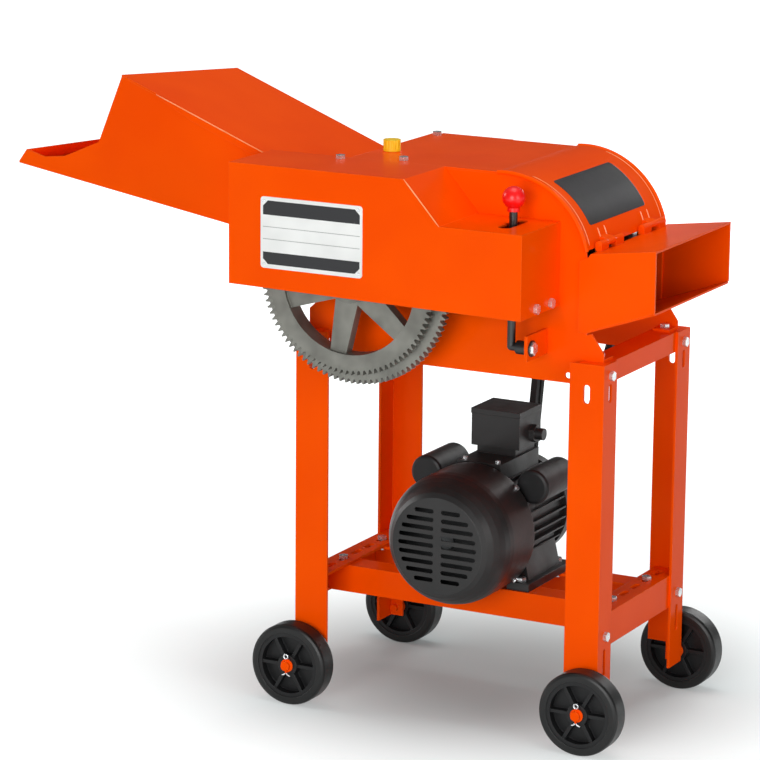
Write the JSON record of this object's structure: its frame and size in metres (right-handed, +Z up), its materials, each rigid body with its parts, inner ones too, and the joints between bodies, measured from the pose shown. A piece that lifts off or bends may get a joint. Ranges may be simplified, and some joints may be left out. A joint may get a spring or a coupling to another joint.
{
  "type": "electric chaff cutter",
  "caption": "Electric chaff cutter on a wheeled angle-iron stand: feed hopper, geared feed rollers, knife rotor under a hinged cover, chute and belt-driving motor.",
  "frame": {"origin": "on the ground, in the middle of the machine's outline seen from above", "axes": "+X from the feed hopper to the chute, +Y from the gear side to the belt side, +Z up"},
  "size_m": [1.071, 0.4696, 0.924],
  "materials": {
    "orange_paint": "glossy powder coat",
    "zinc": "bright zinc",
    "grey_iron": "as cast, oiled",
    "bright_steel": "machined",
    "motor_black": "satin",
    "black_plastic": "moulded",
    "tyre_rubber": "matt",
    "belt_rubber": "matt",
    "lever_black": "satin",
    "red_plastic": "glossy",
    "yellow_plastic": "moulded",
    "plate_aluminium": "satin, bare"
  },
  "bodies": {
    "frame": {"front_legs": "orange_paint", "rear_legs": "orange_paint", "top_beams": "orange_paint", "side_rails": "orange_paint", "motor_rails": "orange_paint", "frame_bolts": "zinc", "wheel_axles": "orange_paint", "front_side_plate": "orange_paint", "rear_side_plate": "orange_paint", "top_sheet": "orange_paint", "top_bolts": "zinc", "drum_concave": "orange_paint", "knife_table": "orange_paint", "bed_knife": "bright_steel", "chute": "orange_paint", "hopper_tray": "orange_paint", "hopper_hood": "orange_paint", "gear_cover": "orange_paint", "nameplate": "plate_aluminium", "cover_brackets": "orange_paint", "cover_bolts": "zinc", "lever_lug": "orange_paint", "shaft_bearings": "grey_iron", "pressure_springs": "zinc", "sync_guard": "orange_paint", "motor_frame": "motor_black", "motor_bells": "motor_black", "fan_cowl": "motor_black", "terminal_box": "motor_black", "capacitors": "black_plastic", "motor_bolts": "zinc", "drive_belts": "belt_rubber"},
    "rotor": {"main_shaft": "bright_steel", "rotor_discs": "grey_iron", "knives": "bright_steel", "knife_bolts": "zinc", "driven_pulley": "grey_iron"},
    "pinion": {"drive_pinion": "bright_steel"},
    "lever": {"lever_rod": "lever_black", "lever_knob": "red_plastic"},
    "lower_feed": {"lower_roller": "bright_steel", "feed_gear": "grey_iron", "lower_sync_gear": "grey_iron"},
    "upper_carrier": {"upper_blocks": "grey_iron"},
    "upper_feed": {"upper_roller": "bright_steel", "upper_sync_gear": "grey_iron"},
    "motor_rotor": {"motor_shaft": "bright_steel", "motor_fan": "black_plastic", "motor_pulley": "grey_iron"},
    "rotor_lid": {"rotor_cover": "orange_paint"},
    "cap": {"filler_cap": "yellow_plastic"},
    "wheel_front_left": {"hub_front_left": "black_plastic", "tyre_front_left": "tyre_rubber"},
    "wheel_front_right": {"hub_front_right": "black_plastic", "tyre_front_right": "tyre_rubber"},
    "wheel_rear_left": {"hub_rear_left": "black_plastic", "tyre_rear_left": "tyre_rubber"},
    "wheel_rear_right": {"hub_rear_right": "black_plastic", "tyre_rear_right": "tyre_rubber"}
  },
  "joints": [
    {"name": "rotor_spin", "type": "hinge", "parent": "frame", "child": "rotor", "pos_m": [0.2995, 0.02675, 0.7], "axis": [0, 1, 0], "continuous": true},
    {"name": "pinion_shift", "type": "slide", "parent": "rotor", "child": "pinion", "axis": [0, -1, 0], "range_m": [0, 0.016]},
    {"name": "lever_tilt", "type": "hinge", "parent": "frame", "child": "lever", "pos_m": [0.3585, -0.15925, 0.592], "axis": [1, 0, 0], "range_deg": [0, 8.4]},
    {"name": "lower_feed_spin", "type": "hinge", "parent": "frame", "child": "lower_feed", "pos_m": [0.09635, 0.02675, 0.669], "axis": [0, 1, 0], "continuous": true},
    {"name": "upper_lift", "type": "slide", "parent": "frame", "child": "upper_carrier", "axis": [0, 0, 1], "range_m": [0, 0.015], "stiffness_N_per_m": 3000, "springref_m": -0.01},
    {"name": "upper_feed_spin", "type": "hinge", "parent": "upper_carrier", "child": "upper_feed", "pos_m": [0.09635, 0.02675, 0.753], "axis": [0, 1, 0], "continuous": true},
    {"name": "motor_spin", "type": "hinge", "parent": "frame", "child": "motor_rotor", "pos_m": [0.2245, 0.02675, 0.281], "axis": [0, 1, 0], "continuous": true},
    {"name": "lid_hinge", "type": "hinge", "parent": "frame", "child": "rotor_lid", "pos_m": [0.4365, 0.02675, 0.737], "axis": [0, 1, 0], "range_deg": [0, 75]},
    {"name": "cap_pull", "type": "slide", "parent": "frame", "child": "cap", "axis": [0, 0, 1], "range_m": [0, 0.02]},
    {"name": "wheel_front_left_spin", "type": "hinge", "parent": "frame", "child": "wheel_front_left", "pos_m": [-0.0225, -0.15375, 0.0625], "axis": [0, 1, 0], "continuous": true},
    {"name": "wheel_front_right_spin", "type": "hinge", "parent": "frame", "child": "wheel_front_right", "pos_m": [0.4575, -0.15375, 0.0625], "axis": [0, 1, 0], "continuous": true},
    {"name": "wheel_rear_left_spin", "type": "hinge", "parent": "frame", "child": "wheel_rear_left", "pos_m": [-0.0225, 0.20725, 0.0625], "axis": [0, 1, 0], "continuous": true},
    {"name": "wheel_rear_right_spin", "type": "hinge", "parent": "frame", "child": "wheel_rear_right", "pos_m": [0.4575, 0.20725, 0.0625], "axis": [0, 1, 0], "continuous": true}
  ],
  "couplings": [
    {"joint": "pinion_shift", "follows": "lever_tilt", "m_per_rad": 0.108},
    {"joint": "lower_feed_spin", "follows": "rotor_spin", "ratio": -0.35644},
    {"joint": "upper_feed_spin", "follows": "rotor_spin", "ratio": 0.35644},
    {"joint": "motor_spin", "follows": "rotor_spin", "ratio": 2.1561}
  ]
}
